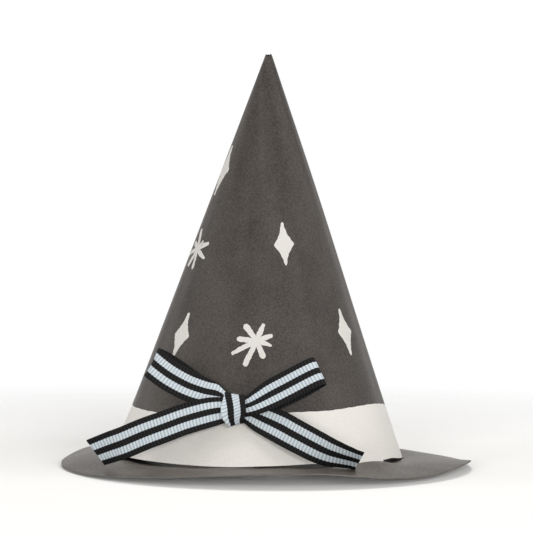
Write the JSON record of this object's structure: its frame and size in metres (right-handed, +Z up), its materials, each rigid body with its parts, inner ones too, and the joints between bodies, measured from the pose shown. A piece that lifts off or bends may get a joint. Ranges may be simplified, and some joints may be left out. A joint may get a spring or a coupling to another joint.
{
  "type": "witch hat",
  "caption": "Small free-standing paper witch hat: a rolled card cone on a curling card brim, with a striped ribbon bow at the foot of the cone.",
  "frame": {"origin": "on the ground under the centre of the brim", "axes": "+Z up through the hat, -Y towards the front with the bow, +X to the right seen from the front"},
  "size_m": [0.132, 0.132, 0.1326],
  "materials": {
    "card": "matt printed card",
    "ribbon": "ribbed grosgrain, striped black and pale blue",
    "glue": "dried glue"
  },
  "bodies": {
    "root": {"crown": "card", "brim": "card", "seam_glue": "glue", "tab_glue": "glue", "bow_knot": "ribbon", "bow_left_loop": "ribbon", "bow_right_loop": "ribbon", "bow_left_tail": "ribbon", "bow_right_tail": "ribbon", "bow_glue": "glue"}
  },
  "joints": []
}
